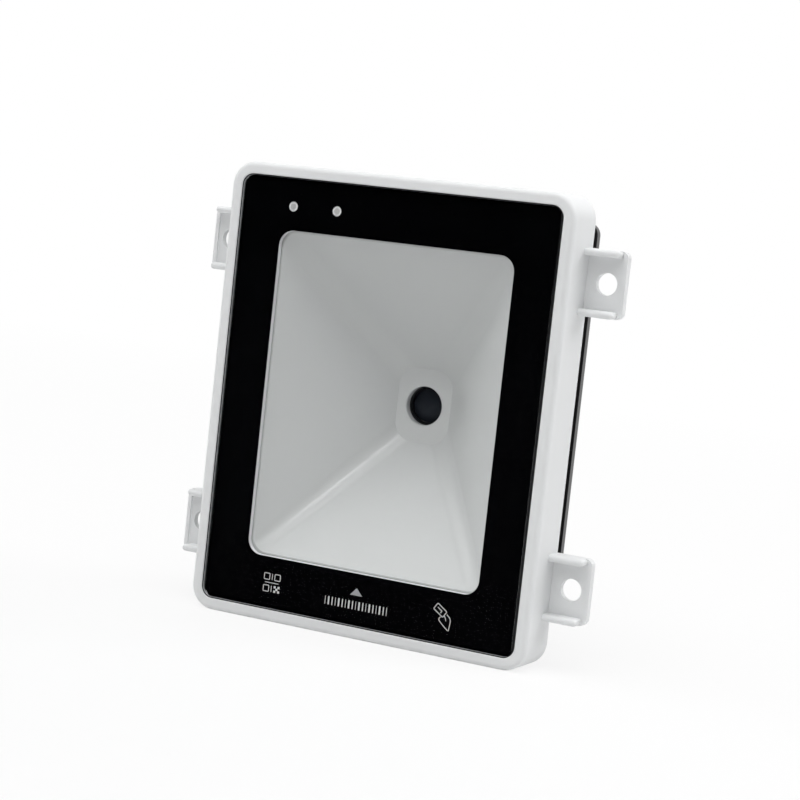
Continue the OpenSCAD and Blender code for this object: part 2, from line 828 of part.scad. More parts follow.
module back_housing() color([0.06, 0.06, 0.065]) stand_up() {
    difference() {
        union() {
            carry_round(back_w, back_h, back_corner_r)
                housing_section();
            translate([0, 0, back_z])
                linear_extrude(back_wall)
                    square([back_w - 2 * back_corner_r, back_h - 2 * back_corner_r], center = true);
            difference() {
                plate(flange_w, flange_h, flange_r, flange_sink, flange_front_z);
                plate(back_w - back_wall, back_h - back_wall, back_corner_r - back_wall / 2,
                    flange_sink - past, flange_front_z + past);
            }
            at_corners(post_x, post_y)
                translate([0, 0, floor_z - overlap])
                    cylinder(r = post_r, h = post_h + overlap);
        }
        at_corners(post_x, post_y)
            translate([0, 0, floor_z])
                cylinder(d = big_screw_d + 2 * thread_gap, h = post_h + past);
        at_corners(antenna_hole_x, antenna_hole_y)
            translate([0, 0, head_pocket_z])
                cylinder(d = small_head_d + 2 * small_gap, h = flange_front_z + past);
        for (x = [-cover_screw_x, cover_screw_x], y = cover_screw_ys)
            translate([x, y, flange_sink - past]) {
                cylinder(d = big_screw_d + fit, h = flange_front_z + 2 * past);
                cylinder(d = big_head_d + 2 * fit, h = cover_head_sink + past);
            }
        translate([-jack_w / 2 - small_gap, jack_y - past, board_front_z - small_gap])
            cube([jack_w + 2 * small_gap, back_wall + 2 * past, jack_h + 2 * small_gap]);
    }
}

module cover_screws() color("silver") stand_up() {
    length = flange_front_z - flange_sink - cover_head_sink + cover_pilot - overlap;
    for (x = [-cover_screw_x, cover_screw_x], y = cover_screw_ys)
        translate([x, y, flange_sink + cover_head_sink])
            screw(big_screw_d, length, big_head_d, big_head_h);
}

body_shell();
front_glass();
glass_mask();
light_cone();
light_pipes();
antenna_board();
antenna_coil();
status_leds();
antenna_screws();
lens_barrel();
lens_element();
lens_holder();
holder_screws();
image_sensor();
main_board();
main_board_screws();
lighting_leds();
processor();
memory_chip();
buzzer();
capacitors();
data_jack();
jack_contacts();
cable_connectors();
antenna_cable();
back_gasket();
back_housing();
cover_screws();
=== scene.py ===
"""Dresses the panel-mounted barcode reader: finishes for every solid, and the signs, sealing strip and lamp
lenses that the solids leave to the scene. Lengths are millimetres, which MM turns into metres. The studio's
are metres."""

import math

import bpy
import numpy as np
from mathutils import Matrix, Vector


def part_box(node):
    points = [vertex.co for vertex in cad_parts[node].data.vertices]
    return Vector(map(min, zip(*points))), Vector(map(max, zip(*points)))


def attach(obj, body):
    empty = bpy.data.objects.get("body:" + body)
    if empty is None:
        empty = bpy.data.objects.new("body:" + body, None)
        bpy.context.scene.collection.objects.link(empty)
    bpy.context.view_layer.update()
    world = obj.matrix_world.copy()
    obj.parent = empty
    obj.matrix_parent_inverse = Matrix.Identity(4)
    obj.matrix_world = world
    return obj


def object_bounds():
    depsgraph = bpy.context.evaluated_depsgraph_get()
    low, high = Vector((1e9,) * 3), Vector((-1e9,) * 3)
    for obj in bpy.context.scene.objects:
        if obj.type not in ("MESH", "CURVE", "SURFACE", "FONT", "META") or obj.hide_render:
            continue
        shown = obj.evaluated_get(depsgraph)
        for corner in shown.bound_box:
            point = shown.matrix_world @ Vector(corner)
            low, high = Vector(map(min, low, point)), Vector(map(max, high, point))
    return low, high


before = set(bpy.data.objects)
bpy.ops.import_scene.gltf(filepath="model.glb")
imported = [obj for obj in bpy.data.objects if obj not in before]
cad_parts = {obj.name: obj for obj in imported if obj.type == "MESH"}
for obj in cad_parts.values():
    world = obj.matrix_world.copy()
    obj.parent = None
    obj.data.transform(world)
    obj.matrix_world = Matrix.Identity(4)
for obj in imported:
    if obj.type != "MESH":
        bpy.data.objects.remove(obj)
cad_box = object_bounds()

MM = 0.001


# Where the pane, its mask and the light pipes lie, taken from the solids

def in_millimetres(box):
    """The two corners of a box as arrays in millimetres."""
    return [np.array(corner) / MM for corner in box]


pane_low, pane_high = in_millimetres(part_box("front_glass"))
mask_low, mask_high = in_millimetres(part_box("glass_mask"))
pipe_low, pipe_high = in_millimetres(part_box("light_pipes"))
pane_front, pane_back = pane_low[1], pane_high[1]
mask_front, mask_back = mask_low[1], mask_high[1]


# Meshes

def new_piece(name, points, faces, material, smooth=False):
    """A mesh object at the origin from an (n, 3) array of points in millimetres and a list of faces."""
    mesh = bpy.data.meshes.new(name)
    mesh.from_pydata((np.asarray(points) * MM).tolist(), [], faces)
    mesh.validate()
    mesh.polygons.foreach_set("use_smooth", np.full(len(mesh.polygons), smooth))
    mesh.materials.append(material)
    piece = bpy.data.objects.new(name, mesh)
    bpy.context.scene.collection.objects.link(piece)
    return piece


def grid_faces(rows, columns, wrap_columns, wrap_rows=False):
    """Quads of a grid of rows by columns points, numbered row by row. A wrap joins the last column or row to
    the first."""
    row, column = np.meshgrid(np.arange(rows if wrap_rows else rows - 1),
                              np.arange(columns if wrap_columns else columns - 1), indexing="ij")
    below = (row + 1) % rows
    after = (column + 1) % columns
    corners = [(row, column), (row, after), (below, after), (below, column)]
    return np.stack([r * columns + c for r, c in corners], axis=-1).reshape(-1, 4).tolist()


def loft_sides(left, right, y_front, y_back, closed=False):
    """A flat bar between two edge lines in x and z: its four long edges are the two lines at y_front and at
    y_back, joined in turn round the section, with a quad at each end unless the lines close on themselves."""
    count = len(left)
    section = [(left, y_front), (right, y_front), (right, y_back), (left, y_back)]
    edges = [np.column_stack([line[:, 0], np.full(count, depth), line[:, 1]]) for line, depth in section]
    points = np.stack(edges, axis=1).reshape(-1, 3)
    faces = grid_faces(count, len(section), True, closed)
    if not closed:
        first_end = np.arange(len(section))
        faces.append(first_end[::-1].tolist())
        faces.append((first_end + len(points) - len(section)).tolist())
    return points, faces


def ribbon(path, width, y_front, y_back, closed=False):
    """A rectangular section carried along a flat path in x and z: at each point the section spans half the
    width to each side, along the mitre of the two runs that meet there, and from y_front to y_back. A closed
    path runs on from its last point to its first."""
    path = np.asarray(path, float)
    after = np.roll(path, -1, axis=0) - path
    after /= np.linalg.norm(after, axis=1)[:, None]
    before = np.roll(after, 1, axis=0)
    if not closed:
        before[0] = after[0]
        after[-1] = before[-1]
    sideways = np.stack([-before[:, 1], before[:, 0]], axis=1)
    along = before + after
    along /= np.linalg.norm(along, axis=1)[:, None]
    mitre = np.stack([-along[:, 1], along[:, 0]], axis=1)
    reach = (width / 2 / np.sum(mitre * sideways, axis=1))[:, None]
    return loft_sides(path + mitre * reach, path - mitre * reach, y_front, y_back, closed)


def dome(x, z, y_edge, radius, rise, rings=12, around=48):
    """A shallow dome facing -y: at the share s of the radius it stands rise * (1 - s squared) before its
    edge, and a flat back closes it."""
    share = np.linspace(0, 1, rings + 1)[1:]
    turn = np.linspace(0, 2 * math.pi, around, endpoint=False)
    out, angle = np.meshgrid(share, turn, indexing="ij")
    points = np.stack([x + radius * out * np.cos(angle),
                       y_edge - rise * (1 - out ** 2),
                       z + radius * out * np.sin(angle)], axis=-1).reshape(-1, 3)
    tip = len(points)
    points = np.vstack([points, [[x, y_edge - rise, z]]])
    ring = np.arange(around)
    sides = np.array(grid_faces(rings, around, True))[:, ::-1]
    middle = np.column_stack([ring, np.roll(ring, -1), np.full(around, tip)])
    back = ring[::-1] + (rings - 1) * around
    return points, sides.tolist() + middle.tolist() + [back.tolist()]


def joined(parts):
    """Several (points, faces) pairs as one pair, with the faces' numbers moved along."""
    starts = np.cumsum([0] + [len(points) for points, faces in parts])
    faces = [[start + corner for corner in face]
             for start, (points, part_faces) in zip(starts, parts) for face in part_faces]
    return np.vstack([points for points, part_faces in parts]), faces


# Shader nodes

def add_node(tree, kind, **settings):
    """A node of the given type; settings name its properties."""
    node = tree.nodes.new(kind)
    for key, value in settings.items():
        setattr(node, key, value)
    return node


def set_inputs(tree, node, values):
    """Feeds a node's inputs by their names: another node's output is linked, and any other value is set."""
    for label, value in values.items():
        if isinstance(value, bpy.types.NodeSocket):
            tree.links.new(value, node.inputs[label])
        else:
            node.inputs[label].default_value = value


def calculated(tree, operation, *values):
    """The result of a Math node on the given values."""
    node = add_node(tree, "ShaderNodeMath", operation=operation)
    set_inputs(tree, node, dict(enumerate(values)))
    return node.outputs[0]


def ranged(tree, value, start, end, low=0.0, high=1.0, rise="LINEAR"):
    """low up to start, high from end on, and a straight or smooth rise between them."""
    node = add_node(tree, "ShaderNodeMapRange", interpolation_type=rise)
    set_inputs(tree, node, {"Value": value, "From Min": start, "From Max": end,
                            "To Min": low, "To Max": high})
    return node.outputs["Result"]


def blended(tree, share, first, second):
    """The colour at a share of the way from the first colour to the second."""
    node = add_node(tree, "ShaderNodeMix", data_type="RGBA")
    set_inputs(tree, node, {"Factor": share, "A": first, "B": second})
    return node.outputs["Result"]


def coordinate(tree, axis, kind="Object"):
    """One coordinate of the point that is shaded."""
    place = add_node(tree, "ShaderNodeTexCoord")
    split = add_node(tree, "ShaderNodeSeparateXYZ")
    tree.links.new(place.outputs[kind], split.inputs[0])
    return split.outputs[axis]


def noise(tree, place, per_metre, detail):
    """A noise from 0 to 1, with so many grains per metre."""
    node = add_node(tree, "ShaderNodeTexNoise")
    set_inputs(tree, node, {"Vector": place, "Scale": per_metre, "Detail": detail})
    return node.outputs["Fac"]


def spread_about(tree, value, middle, spread):
    """middle + spread * (2 * value - 1), where value runs from 0 to 1."""
    centred = calculated(tree, "MULTIPLY_ADD", value, 2, -1)
    return calculated(tree, "MULTIPLY_ADD", centred, spread, middle)


# Shader node groups

GRAIN_DETAIL = 4
PATCH_DETAIL = 2
PATCHES_PER_METRE = 45
# Shares of the fine grain and of the slow patches in the shade
GRAIN_SHARE = 0.4
PATCH_SHARE = 0.6
# Distances from a cell's middle, in cells, between which the lacquer gives way to a track
TRACK_START = 0.34
TRACK_END = 0.38


def new_group(name, inputs, outputs):
    """An empty shader group with named sockets. inputs and outputs are lists of (name, socket type)."""
    group = bpy.data.node_groups.new(name, "ShaderNodeTree")
    for label, kind in inputs:
        group.interface.new_socket(label, in_out="INPUT", socket_type=kind)
    for label, kind in outputs:
        group.interface.new_socket(label, in_out="OUTPUT", socket_type=kind)
    return group, group.nodes.new("NodeGroupInput").outputs, group.nodes.new("NodeGroupOutput")


def make_grain_group():
    """Grain of a moulded or painted surface. A fine noise in object coordinates shades the colour and the
    roughness by their spreads and gives the bump's height, and a broad noise adds slow patches of shade."""
    group, given, result = new_group(
        "moulded grain",
        [("Color", "NodeSocketColor"), ("Color Spread", "NodeSocketFloat"), ("Roughness", "NodeSocketFloat"),
         ("Roughness Spread", "NodeSocketFloat"), ("Grains per Metre", "NodeSocketFloat")],
        [("Color", "NodeSocketColor"), ("Roughness", "NodeSocketFloat"), ("Height", "NodeSocketFloat")])
    place = add_node(group, "ShaderNodeTexCoord").outputs["Object"]
    grain = noise(group, place, given["Grains per Metre"], GRAIN_DETAIL)
    patches = noise(group, place, PATCHES_PER_METRE, PATCH_DETAIL)
    patch_part = calculated(group, "MULTIPLY", patches, PATCH_SHARE)
    shade = calculated(group, "MULTIPLY_ADD", grain, GRAIN_SHARE, patch_part)
    tinted = add_node(group, "ShaderNodeVectorMath", operation="SCALE")
    group.links.new(given["Color"], tinted.inputs[0])
    group.links.new(spread_about(group, shade, 1, given["Color Spread"]), tinted.inputs["Scale"])
    set_inputs(group, result, {
        "Color": tinted.outputs[0],
        "Roughness": spread_about(group, shade, given["Roughness"], given["Roughness Spread"]),
        "Height": grain,
    })
    return group


def make_track_group():
    """Lines of copper under a board's lacquer. The edges between the cells of a square-cornered Voronoi
    pattern in object coordinates are the tracks, and the cells are the lacquer between them."""
    group, given, result = new_group(
        "board tracks",
        [("Lacquer", "NodeSocketColor"), ("Track", "NodeSocketColor"),
         ("Cells per Metre", "NodeSocketFloat")],
        [("Color", "NodeSocketColor"), ("Height", "NodeSocketFloat")])
    place = add_node(group, "ShaderNodeTexCoord").outputs["Object"]
    cells = add_node(group, "ShaderNodeTexVoronoi", feature="F1", distance="CHEBYCHEV")
    set_inputs(group, cells, {"Vector": place, "Scale": given["Cells per Metre"]})
    track = ranged(group, cells.outputs["Distance"], TRACK_START, TRACK_END)
    set_inputs(group, result, {
        "Color": blended(group, track, given["Lacquer"], given["Track"]),
        "Height": track,
    })
    return group


grain_group = make_grain_group()
track_group = make_track_group()


# Materials

GRAIN_BUMP = 0.5
TRACK_BUMP = 0.4
TRACK_HEIGHT = 0.05
PANE_IOR = 1.04
# Width of the pane's inked edge, and of the blend at its inner side
PANE_EDGE = 0.5
PANE_EDGE_BLEND = PANE_EDGE / 4
PANE_EDGE_INK = (0.0015, 0.0015, 0.002, 1)


def new_material(name):
    """A material with a Principled shader: returns it, its node tree and the shader."""
    material = bpy.data.materials.new(name)
    material.use_nodes = True
    return material, material.node_tree, material.node_tree.nodes["Principled BSDF"]


def moulded_grain(tree, color, grains, color_spread, roughness=0.0, roughness_spread=0.0):
    """The outputs of the moulded grain at so many grains per metre, with its colour given as three numbers or
    by another node."""
    grain = add_node(tree, "ShaderNodeGroup", node_tree=grain_group)
    set_inputs(tree, grain, {
        "Color": (*color, 1) if isinstance(color, tuple) else color,
        "Color Spread": color_spread,
        "Roughness": roughness,
        "Roughness Spread": roughness_spread,
        "Grains per Metre": grains,
    })
    return grain.outputs


def bumped(tree, height, strength, distance):
    """A normal that follows a height from 0 to 1, where 1 stands out by the distance in millimetres."""
    bump = add_node(tree, "ShaderNodeBump")
    set_inputs(tree, bump, {"Strength": strength, "Distance": distance * MM, "Height": height})
    return bump.outputs["Normal"]


def show_mixed(tree, share, first, second):
    """Makes the material's surface out of two shaders, with the given share of the second."""
    mix = add_node(tree, "ShaderNodeMixShader")
    set_inputs(tree, mix, {"Fac": share, 1: first, 2: second})
    tree.links.new(mix.outputs["Shader"], tree.nodes["Material Output"].inputs["Surface"])


def grained(name, color, roughness, grains=2500, color_spread=0.04, roughness_spread=0.05, relief=0.015,
            metallic=0.0, specular=0.5):
    """A finish with the moulded grain: colour and roughness vary by their spreads, and relief is the depth
    of the grain in millimetres."""
    material, tree, shader = new_material(name)
    grain = moulded_grain(tree, color, grains, color_spread, roughness, roughness_spread)
    set_inputs(tree, shader, {
        "Base Color": grain["Color"],
        "Roughness": grain["Roughness"],
        "Normal": bumped(tree, grain["Height"], GRAIN_BUMP, relief),
        "Metallic": metallic,
        "Specular IOR Level": specular,
    })
    return material


def board_lacquer():
    """Green lacquer over copper tracks."""
    material, tree, shader = new_material("green board lacquer")
    tracks = add_node(tree, "ShaderNodeGroup", node_tree=track_group)
    set_inputs(tree, tracks, {
        "Lacquer": (0.012, 0.09, 0.035, 1),
        "Track": (0.03, 0.2, 0.07, 1),
        "Cells per Metre": 420,
    })
    set_inputs(tree, shader, {
        "Base Color": tracks.outputs["Color"],
        "Normal": bumped(tree, tracks.outputs["Height"], TRACK_BUMP, TRACK_HEIGHT),
        "Roughness": 0.35,
    })
    return material


def away_from_middle(tree, axis, half_size, band):
    """0 within half_size of the middle along one object axis, rising to 1 over the width of the band."""
    distance = calculated(tree, "ABSOLUTE", coordinate(tree, axis))
    return ranged(tree, distance, half_size * MM, (half_size + band) * MM)


def clear_pane():
    """Clear pane with a coating against reflections. Its bevelled edge is inked black, with a bare gloss over
    the ink on the two upright edges. Elsewhere the tint varies a little with the grain's slow patches. Lamps
    shine through the pane, so that the cone behind is lit."""
    material, tree, shader = new_material("coated clear pane")
    upright_edge = away_from_middle(tree, "X", pane_high[0] - PANE_EDGE, PANE_EDGE_BLEND)
    level_edge = away_from_middle(tree, "Z", pane_high[2] - PANE_EDGE, PANE_EDGE_BLEND)
    edge = calculated(tree, "MAXIMUM", upright_edge, level_edge)
    grain = moulded_grain(tree, (0.985, 0.99, 0.99), grains=400, color_spread=0.008)
    set_inputs(tree, shader, {
        "Base Color": blended(tree, edge, grain["Color"], PANE_EDGE_INK),
        "Roughness": 0.02,
        "IOR": PANE_IOR,
        "Transmission Weight": 1,
        "Coat Weight": upright_edge,
        "Coat IOR": 1.6,
        "Coat Roughness": 0.05,
    })
    path = add_node(tree, "ShaderNodeLightPath")
    open_way = add_node(tree, "ShaderNodeBsdfTransparent")
    show_mixed(tree, path.outputs["Is Shadow Ray"], shader.outputs["BSDF"], open_way.outputs["BSDF"])
    return material


def coated_lens():
    """Dark coated lens: nearly black glass, a little blue, with a thin gloss of its coating."""
    material, tree, shader = new_material("coated lens")
    grain = moulded_grain(tree, (0.013, 0.0155, 0.0205), grains=600, color_spread=0.2, roughness=0.2,
                          roughness_spread=0.02)
    set_inputs(tree, shader, {
        "Base Color": grain["Color"],
        "Roughness": grain["Roughness"],
        "Specular IOR Level": 0.05,
        "Coat Weight": 0.05,
        "Coat Roughness": 0.05,
    })
    return material


white_shell = grained("white satin shell", (0.79, 0.8, 0.805), roughness=0.45, grains=2600, color_spread=0.02,
                      relief=0.01)
white_cone = grained("matt white cone", (0.545, 0.555, 0.553), roughness=0.18, grains=1800, color_spread=0.02,
                     roughness_spread=0.03, relief=0.001, specular=0.33)
mask_ink = grained("black mask ink", (0.001, 0.001, 0.0013), roughness=0.6, color_spread=0.3, relief=0.0,
                   specular=0.0)
sign_ink = grained("white sign ink", (0.56, 0.57, 0.57), roughness=0.6, grains=6000, relief=0.0)
arrow_ink = grained("grey arrow ink", (0.27, 0.275, 0.28), roughness=0.6, grains=6000, relief=0.0)
housing_black = grained("black satin housing", (0.012, 0.012, 0.013), roughness=0.35, grains=2200,
                        color_spread=0.15, relief=0.02, specular=0.9)
moulding_black = grained("black matt moulding", (0.018, 0.018, 0.019), roughness=0.6, color_spread=0.2,
                         relief=0.02)
barrel_black = grained("black anodised barrel", (0.004, 0.004, 0.005), roughness=0.5, grains=3500,
                       color_spread=0.2, specular=0.08)
socket_black = grained("black socket plastic", (0.016, 0.016, 0.017), roughness=0.35, grains=3000,
                       color_spread=0.15)
seal_rubber = grained("black seal rubber", (0.014, 0.014, 0.014), roughness=0.8, grains=1500,
                      color_spread=0.2)
chip_resin = grained("chip resin", (0.02, 0.02, 0.021), roughness=0.55, grains=5000, color_spread=0.2)
pipe_plastic = grained("frosted light pipe", (0.6, 0.61, 0.61), roughness=0.35, grains=1500,
                       color_spread=0.05)
lamp_plastic = grained("lamp plastic", (0.75, 0.72, 0.55), roughness=0.5, grains=3000, color_spread=0.06)
cable_plastic = grained("ivory cable plastic", (0.72, 0.7, 0.63), roughness=0.5, color_spread=0.05)
screw_zinc = grained("zinc plated screws", (0.62, 0.62, 0.64), roughness=0.32, grains=5000, color_spread=0.08,
                     roughness_spread=0.1, metallic=1.0)
can_aluminium = grained("capacitor aluminium", (0.72, 0.73, 0.74), roughness=0.35, grains=4000, metallic=1.0)
coil_copper = grained("lacquered copper", (0.72, 0.36, 0.2), roughness=0.3, grains=4000, color_spread=0.08,
                      metallic=1.0)
contact_gold = grained("gold plating", (0.85, 0.62, 0.25), roughness=0.25, grains=4000, color_spread=0.06,
                       metallic=1.0)
board_green = board_lacquer()
pane_clear = clear_pane()
lens_dark = coated_lens()

finish_of_node = {
    "body_shell": white_shell, "front_glass": pane_clear, "glass_mask": mask_ink, "light_cone": white_cone,
    "light_pipes": pipe_plastic, "antenna_board": board_green, "antenna_coil": coil_copper,
    "status_leds": lamp_plastic, "antenna_screws": screw_zinc, "lens_barrel": barrel_black,
    "lens_element": lens_dark, "lens_holder": moulding_black, "holder_screws": screw_zinc,
    "image_sensor": chip_resin, "main_board": board_green, "main_board_screws": screw_zinc,
    "lighting_leds": lamp_plastic, "processor": chip_resin, "memory_chip": chip_resin,
    "buzzer": moulding_black, "capacitors": can_aluminium, "data_jack": socket_black,
    "jack_contacts": contact_gold, "cable_connectors": cable_plastic, "antenna_cable": cable_plastic,
    "back_gasket": seal_rubber, "back_housing": housing_black, "cover_screws": screw_zinc,
}
for node_name, finish in finish_of_node.items():
    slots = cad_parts[node_name].data.materials
    slots.clear()
    slots.append(finish)


# Signs on the black border, printed between the pane and the mask

# The ink fills the middle half of the gap
INK_GAP = (mask_front - pane_back) / 4
INK_FRONT = pane_back + INK_GAP
INK_BACK = mask_front - INK_GAP
STROKE = 0.16
# Height of the row of signs above the pane's lower edge
SIGN_RISE = 5.9
SIGN_Z = pane_low[2] + SIGN_RISE

# Matrix sign: shares of its side, and of a square's side for the square's corner and the dots
MATRIX_SQUARE = 0.34
MATRIX_BAR_REACH = 0.42
MATRIX_CORNER = 0.14
MATRIX_DOT = 0.36
MATRIX_BAR_STROKE = STROKE * 0.9
MATRIX_DOTS = [(-1, -1), (-1, 1), (0, 0), (1, -1), (1, 1)]

# The arrow's tip is cut off at this share of its height
ARROW_TIP = 0.98

# Bar row: the thinnest bar, what each of the wider ones adds, and how their order runs
BAR_THIN = 0.13
BAR_STEP = 0.12
BAR_WIDTHS = 3
BAR_SKIP = 5

# Card sign: the corner in shares of the card's width, the stripe in shares of its length and width, and the
# hand in shares of its length
CARD_CORNER = 0.12
CARD_TILT = math.radians(-34)
CARD_STRIPE = [(-0.3, 0.08), (0.15, 0.08), (0.15, -0.3)]
HAND_LINES = [
    [(0.6, -0.24), (0.93, -0.62), (0.86, -1.48)],
    [(0.08, -0.5), (-0.04, -0.72), (0.18, -0.98), (0.8, -1.48)],
    [(0.36, -0.36), (0.5, -0.54), (0.56, -0.76)],
]


def round_outline(width, height, corner, steps=7):
    """Points of a closed rounded rectangle about the origin: a quarter circle at each corner in turn."""
    turn = np.linspace(0, math.pi / 2, steps)
    quarters = []
    for quarter, (sx, sz) in enumerate([(1, 1), (-1, 1), (-1, -1), (1, -1)]):
        angle = turn + quarter * math.pi / 2
        quarters.append(np.column_stack([sx * (width / 2 - corner) + corner * np.cos(angle),
                                         sz * (height / 2 - corner) + corner * np.sin(angle)]))
    return np.vstack(quarters)


def turned(points, tilt):
    """Flat points turned about the origin by an angle."""
    cosine, sine = math.cos(tilt), math.sin(tilt)
    return points @ np.array([[cosine, sine], [-sine, cosine]])


def smooth_path(points, per_run=6):
    """A Catmull-Rom curve through flat points: on each run the four nearest points are blended by cubics of
    the share run through."""
    points = np.asarray(points, float)
    padded = np.vstack([2 * points[0] - points[1], points, 2 * points[-1] - points[-2]])
    share = np.linspace(0, 1, per_run, endpoint=False)[None, :, None]
    p0, p1, p2, p3 = (padded[k:len(points) - 1 + k, None, :] for k in range(4))
    curve = 0.5 * (2 * p1 + (p2 - p0) * share + (2 * p0 - 5 * p1 + 4 * p2 - p3) * share ** 2
                   + (3 * p1 - p0 - 3 * p2 + p3) * share ** 3)
    return np.vstack([curve.reshape(-1, 2), points[-1:]])


def inked(path, width=STROKE, closed=False):
    """An ink stroke along a flat path, as thick as the gap for the ink allows."""
    return ribbon(path, width, INK_FRONT, INK_BACK, closed)


def matrix_sign(x, z, side):
    """Three square outlines and a patch of dots in the four quarters of a square, parted by a level bar and
    two upright ones: outlines and bars are strokes, and the dots are short wide strokes."""
    square = side * MATRIX_SQUARE
    quarter = (side - square) / 2
    outline = round_outline(square, square, square * MATRIX_CORNER)
    strokes = [inked(outline + (x + sx * quarter, z + sz * quarter), closed=True)
               for sx, sz in [(-1, 1), (1, 1), (-1, -1)]]
    reach = side * MATRIX_BAR_REACH
    strokes.append(inked([(x - reach, z), (x + reach, z)], MATRIX_BAR_STROKE))
    for sz in (-1, 1):
        ends = [(x, z + sz * (quarter - square / 2)), (x, z + sz * (quarter + square / 2))]
        strokes.append(inked(ends, MATRIX_BAR_STROKE))
    dot = square * MATRIX_DOT
    for sx, sz in MATRIX_DOTS:
        middle = np.array([x + quarter + sx * dot, z - quarter + sz * dot])
        strokes.append(inked([middle - (dot / 2, 0), middle + (dot / 2, 0)], dot))
    return joined(strokes)


def arrow_sign(x, z, width, height):
    """A filled triangle that points up, narrowed evenly from its base to its tip."""
    up = np.array([0, ARROW_TIP])
    half = width / 2 * (1 - up)
    left = np.column_stack([x - half, z + up * height])
    right = np.column_stack([x + half, z + up * height])
    return loft_sides(left, right, INK_FRONT, INK_BACK)


def bar_row_sign(x, z, width, height, count):
    """A row of upright bars: their widths follow a repeating count, and the gaps between them are equal."""
    order = np.arange(count)
    widths = BAR_THIN + BAR_STEP * (order * BAR_SKIP % BAR_WIDTHS)
    gap = (width - widths.sum()) / (count - 1)
    middles = x - width / 2 + np.cumsum(widths) - widths / 2 + gap * order
    return joined([inked([(middle, z - height / 2), (middle, z + height / 2)], bar)
                   for middle, bar in zip(middles, widths)])


def card_sign(x, z, length, width, tilt):
    """A tilted card with a stripe, and the outline of a hand that holds it from below: strokes along a
    rounded rectangle, a bent line and smooth curves about the card's middle."""
    card = turned(round_outline(length, width, width * CARD_CORNER), tilt)
    stripe = turned(np.array(CARD_STRIPE) * (length, width), tilt)
    hand = [smooth_path(line) * length for line in HAND_LINES]
    strokes = [inked(line + (x, z)) for line in (stripe, *hand)]
    return joined([inked(card + (x, z), closed=True)] + strokes)


# Each x is the distance from the pane's middle
signs = [
    ("matrix_sign", matrix_sign(x=-22.3, z=SIGN_Z - 0.05, side=4.25), sign_ink),
    ("arrow_sign", arrow_sign(x=-0.15, z=SIGN_Z + 0.9, width=3.1, height=1.7), arrow_ink),
    ("bar_row_sign", bar_row_sign(x=0.0, z=SIGN_Z - 1.4, width=16.0, height=1.9, count=19), sign_ink),
    ("card_sign", card_sign(x=21.2, z=SIGN_Z + 1.4, length=2.9, width=1.67, tilt=CARD_TILT), sign_ink),
]
for sign_name, (sign_points, sign_faces), ink in signs:
    sign = new_piece(sign_name, sign_points, sign_faces, ink)
    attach(sign, "root")


# Sealing strip in the gap between the pane and the rim

PANE_GAP = 0.3
PANE_CORNER = 2.5
CORNER_STEPS = 13
SEAL_PLAY = 0.02
SEAL_SKIN = 0.04
SEAL_FRONT = pane_front + SEAL_PLAY
SEAL_BACK = mask_back - SEAL_PLAY
SEAL_BLACK = (0.012, 0.012, 0.013, 1)
SEAL_PALE = (0.6, 0.61, 0.62, 1)


def seal_finish():
    """Sealing strip with a black skin in front and a pale core, which shows at its sides: the moulded grain's
    colour changes from one to the other along the object's y, just behind the strip's front."""
    material, tree, shader = new_material("black skinned seal")
    behind_skin = ranged(tree, coordinate(tree, "Y"), (SEAL_FRONT + SEAL_SKIN / 2) * MM,
                         (SEAL_FRONT + SEAL_SKIN) * MM)
    tone = blended(tree, behind_skin, SEAL_BLACK, SEAL_PALE)
    grain = moulded_grain(tree, tone, grains=3000, color_spread=0.05, roughness=0.7, roughness_spread=0.05)
    set_inputs(tree, shader, {
        "Base Color": grain["Color"],
        "Roughness": grain["Roughness"],
        "Specular IOR Level": 0.2,
    })
    return material


seal_path = round_outline(pane_high[0] - pane_low[0] + PANE_GAP, pane_high[2] - pane_low[2] + PANE_GAP,
                          PANE_CORNER + PANE_GAP / 2, CORNER_STEPS)
seal_strip = ribbon(seal_path, PANE_GAP - 2 * SEAL_PLAY, SEAL_FRONT, SEAL_BACK, closed=True)
pane_seal = new_piece("pane_seal", *seal_strip, seal_finish())
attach(pane_seal, "root")


# Lamp lenses, set in the mask's two holes in front of the light pipes

# A light pipe's collar stands out from the pipe, and the pipe is wider than the mask's hole
PIPE_COLLAR = 0.5
PIPE_FIT = 0.2
LAMP_PLAY = 0.03
# Share of the mask's thickness by which a lens rises
LAMP_RISE = 0.8
collar_r = (pipe_high[2] - pipe_low[2]) / 2
lamp_z = (pipe_low[2] + pipe_high[2]) / 2
lamp_xs = {"lamp_lens_left": pipe_low[0] + collar_r, "lamp_lens_right": pipe_high[0] - collar_r}
lens_r = collar_r - PIPE_COLLAR - PIPE_FIT - LAMP_PLAY
# Painted light on a lens: its tone in its shaded middle and at its bright rim, and the shares of its radius
# between which it changes
LENS_PAINTED_LIGHT_TONES = (0.36, 0.85)
LENS_PAINTED_LIGHT_BAND = (0.45, 0.85)


def lamp_lens_finish():
    """Frosted lamp lens: its tone rises from the middle to the rim with the radial attribute, which paints a
    shaded middle and a bright rim into the colour, and the moulded grain roughens it."""
    material, tree, shader = new_material("frosted lamp lens")
    radial = add_node(tree, "ShaderNodeAttribute", attribute_name="radial")
    # The rise in tone is painted light: a shaded middle and a painted highlight at the rim
    tone = ranged(tree, radial.outputs["Fac"], *LENS_PAINTED_LIGHT_BAND, *LENS_PAINTED_LIGHT_TONES, rise="SMOOTHSTEP")
    grain = moulded_grain(tree, tone, grains=6000, color_spread=0.03, roughness=0.45, roughness_spread=0.05)
    set_inputs(tree, shader, {"Base Color": grain["Color"], "Roughness": grain["Roughness"]})
    return material


